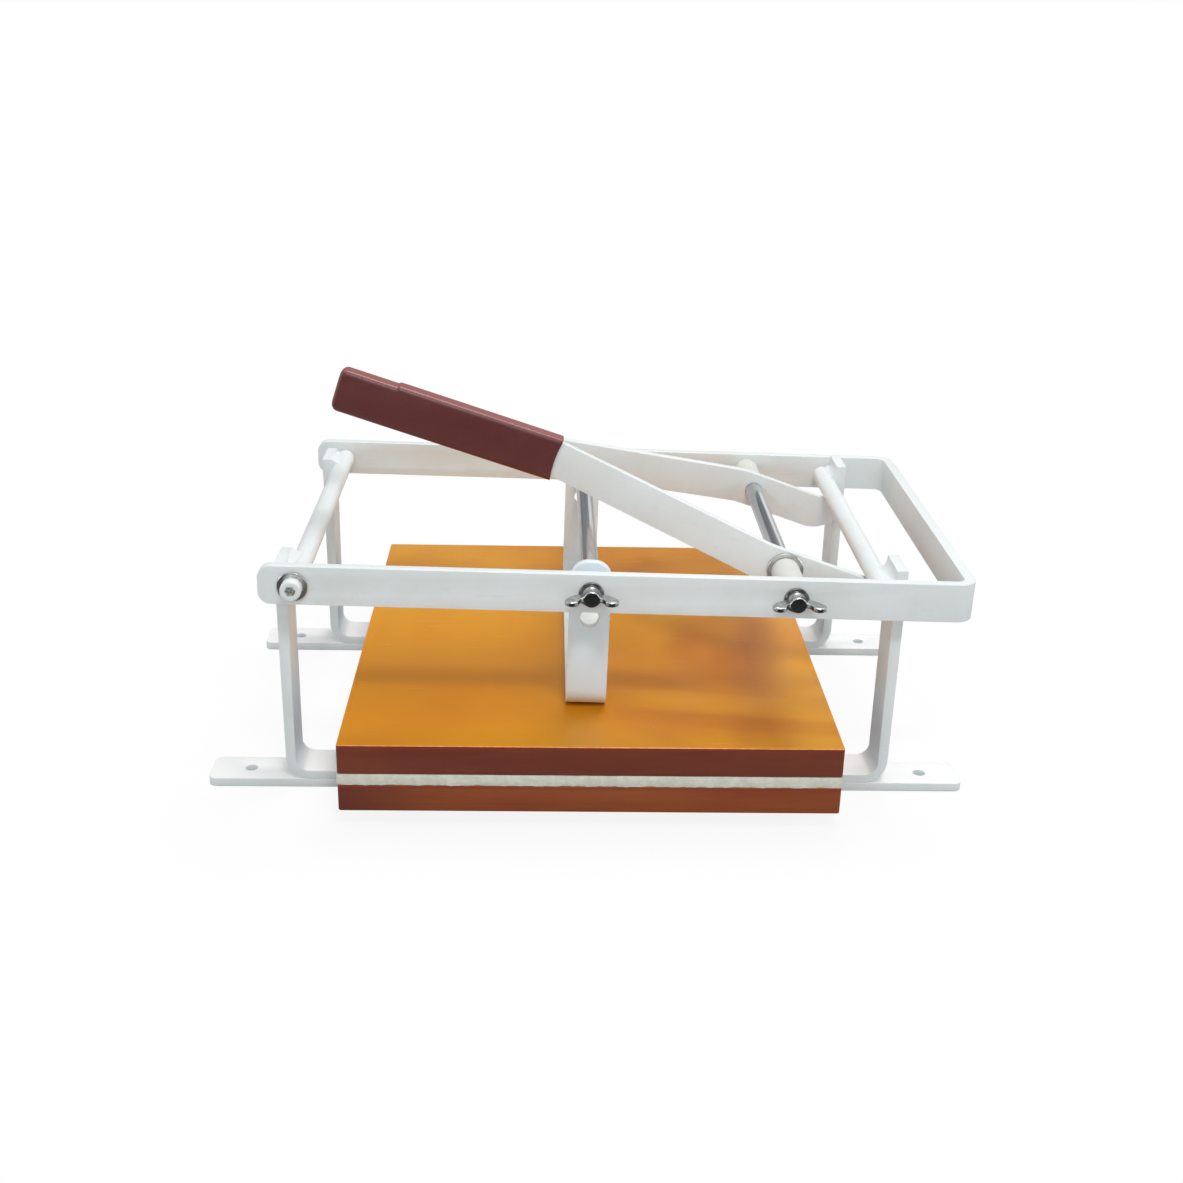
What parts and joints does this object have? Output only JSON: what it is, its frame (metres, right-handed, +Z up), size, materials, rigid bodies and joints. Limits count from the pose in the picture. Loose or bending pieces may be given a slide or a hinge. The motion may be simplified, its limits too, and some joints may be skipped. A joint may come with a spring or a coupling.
{
  "type": "relief printing press",
  "caption": "Bench relief printing press: flat-bar base, swinging frame with pressing foot, forked hand lever, wing bolts and two boards with a felt between them.",
  "frame": {"origin": "centre of the four bench bolt holes, on the bench plane under the foot bars", "axes": "+X to the right along the foot bars, away from the handle; +Y to the back; +Z up"},
  "size_m": [0.5, 0.3592, 0.2509],
  "materials": {
    "white_paint": "glossy powder coat",
    "bright_chrome": "polished",
    "zinc_steel": "bright zinc",
    "natural_nylon": "satin",
    "wool_felt": "pressed wool",
    "varnished_board": "gloss varnish",
    "grip_vinyl": "dipped vinyl"
  },
  "bodies": {
    "base": {"front_foot_bar": "white_paint", "rear_foot_bar": "white_paint", "front_bracket": "white_paint", "rear_bracket": "white_paint", "left_cross_rod": "white_paint", "right_cross_rod": "white_paint", "rod_welds": "white_paint", "front_pivot_screw": "white_paint", "rear_pivot_screw": "white_paint", "front_pivot_washer": "zinc_steel", "rear_pivot_washer": "zinc_steel", "front_pivot_bush": "zinc_steel", "rear_pivot_bush": "zinc_steel"},
    "swing_frame": {"swing_frame": "white_paint", "foot_shaft": "bright_chrome", "lever_shaft": "bright_chrome", "wing_washers": "zinc_steel", "front_lever_washer": "zinc_steel", "rear_lever_washer": "zinc_steel", "front_lever_spacer": "natural_nylon", "rear_lever_spacer": "natural_nylon"},
    "lever": {"front_lever_arm": "white_paint", "rear_lever_arm": "white_paint", "lever_grip": "grip_vinyl"},
    "pressing_foot": {"pressing_foot": "white_paint"},
    "lower_board": {"lower_board": "varnished_board", "felt_blanket": "wool_felt"},
    "upper_board": {"upper_board": "varnished_board"},
    "front_foot_wing_bolt": {"front_foot_wing_bolt": "bright_chrome"},
    "rear_foot_wing_bolt": {"rear_foot_wing_bolt": "bright_chrome"},
    "front_lever_wing_bolt": {"front_lever_wing_bolt": "bright_chrome"},
    "rear_lever_wing_bolt": {"rear_lever_wing_bolt": "bright_chrome"}
  },
  "joints": [
    {"name": "frame_swing", "type": "hinge", "parent": "base", "child": "swing_frame", "pos_m": [-0.1855, 0, 0.148], "axis": [0, -1, 0], "range_deg": [0, 20.5]},
    {"name": "lever_swing", "type": "hinge", "parent": "swing_frame", "child": "lever", "pos_m": [0.12665, 0, 0.14258], "axis": [0, 1, 0], "range_deg": [0, 143.5]},
    {"name": "foot_swing", "type": "hinge", "parent": "swing_frame", "child": "pressing_foot", "pos_m": [-0.00133, 0, 0.1448], "axis": [0, 1, 0], "range_deg": [0, 20.5]},
    {"name": "lower_board_slide", "type": "slide", "parent": "base", "child": "lower_board", "axis": [0, -1, 0], "range_m": [0, 0.08]},
    {"name": "upper_board_slide", "type": "slide", "parent": "lower_board", "child": "upper_board", "axis": [0, -1, 0], "range_m": [0, 0.12]},
    {"name": "front_foot_wing_bolt_turn", "type": "hinge", "parent": "swing_frame", "child": "front_foot_wing_bolt", "pos_m": [-0.00133, 0, 0.1448], "axis": [0, 1, 0], "continuous": true},
    {"name": "rear_foot_wing_bolt_turn", "type": "hinge", "parent": "swing_frame", "child": "rear_foot_wing_bolt", "pos_m": [-0.00133, 0, 0.1448], "axis": [0, 1, 0], "continuous": true},
    {"name": "front_lever_wing_bolt_turn", "type": "hinge", "parent": "swing_frame", "child": "front_lever_wing_bolt", "pos_m": [0.12665, 0, 0.14258], "axis": [0, 1, 0], "continuous": true},
    {"name": "rear_lever_wing_bolt_turn", "type": "hinge", "parent": "swing_frame", "child": "rear_lever_wing_bolt", "pos_m": [0.12665, 0, 0.14258], "axis": [0, 1, 0], "continuous": true}
  ],
  "couplings": [
    {"joint": "lever_swing", "follows": "frame_swing", "ratio": 7},
    {"joint": "foot_swing", "follows": "frame_swing", "ratio": 1}
  ]
}
